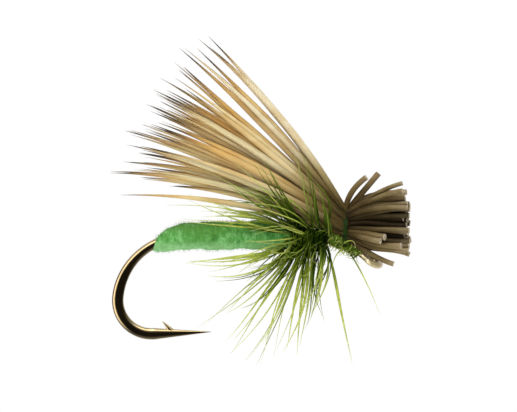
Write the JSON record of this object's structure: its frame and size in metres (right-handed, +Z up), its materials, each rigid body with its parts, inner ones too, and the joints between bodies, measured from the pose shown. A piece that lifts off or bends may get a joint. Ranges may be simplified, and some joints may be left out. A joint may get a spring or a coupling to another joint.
{
  "type": "dry fly",
  "caption": "Dry fly: a bronze hook with a wound green yarn body, a green wound hackle and a swept-back hair wing with clipped butts at the head.",
  "frame": {"origin": "centre of the hook eye", "axes": "+X forward past the eye, away from the bend; +Z up to the wing; the hook's wire lies in the XZ plane"},
  "size_m": [0.0159, 0.0133, 0.0181],
  "materials": {
    "hook_wire": "bronzed steel wire, near black across the middle with gold edges, polished",
    "thread": "waxed green tying thread",
    "yarn": "soft fuzzy green yarn, matte",
    "hackle": "dyed olive to chartreuse feather barbs, slight sheen",
    "elk_hair": "natural deer-family hair, tan with dark tips and grey-brown butts, satin"
  },
  "bodies": {
    "root": {"body_yarn": "yarn", "hackle_feather": "hackle", "hackle_tie_down": "thread", "head_wraps": "thread", "hook": "hook_wire", "thread_base": "thread", "whip_finish": "thread", "wing_collar": "thread", "wing_hair_01": "elk_hair", "wing_hair_02": "elk_hair", "wing_hair_03": "elk_hair", "wing_hair_04": "elk_hair", "wing_hair_05": "elk_hair", "wing_hair_06": "elk_hair", "wing_hair_07": "elk_hair", "wing_hair_08": "elk_hair", "wing_hair_09": "elk_hair", "wing_hair_10": "elk_hair", "wing_hair_11": "elk_hair", "wing_hair_12": "elk_hair", "wing_hair_13": "elk_hair", "wing_hair_14": "elk_hair", "wing_hair_15": "elk_hair", "wing_hair_16": "elk_hair", "wing_hair_17": "elk_hair", "wing_hair_18": "elk_hair", "wing_hair_19": "elk_hair", "wing_hair_20": "elk_hair", "wing_hair_21": "elk_hair", "wing_hair_22": "elk_hair", "wing_hair_23": "elk_hair", "wing_hair_24": "elk_hair", "wing_hair_25": "elk_hair", "wing_hair_26": "elk_hair", "wing_hair_27": "elk_hair", "wing_hair_28": "elk_hair", "wing_hair_29": "elk_hair", "wing_hair_30": "elk_hair", "wing_hair_31": "elk_hair", "wing_hair_32": "elk_hair", "wing_hair_33": "elk_hair", "wing_hair_34": "elk_hair", "wing_hair_35": "elk_hair", "wing_hair_36": "elk_hair", "wing_hair_37": "elk_hair"}
  },
  "joints": []
}
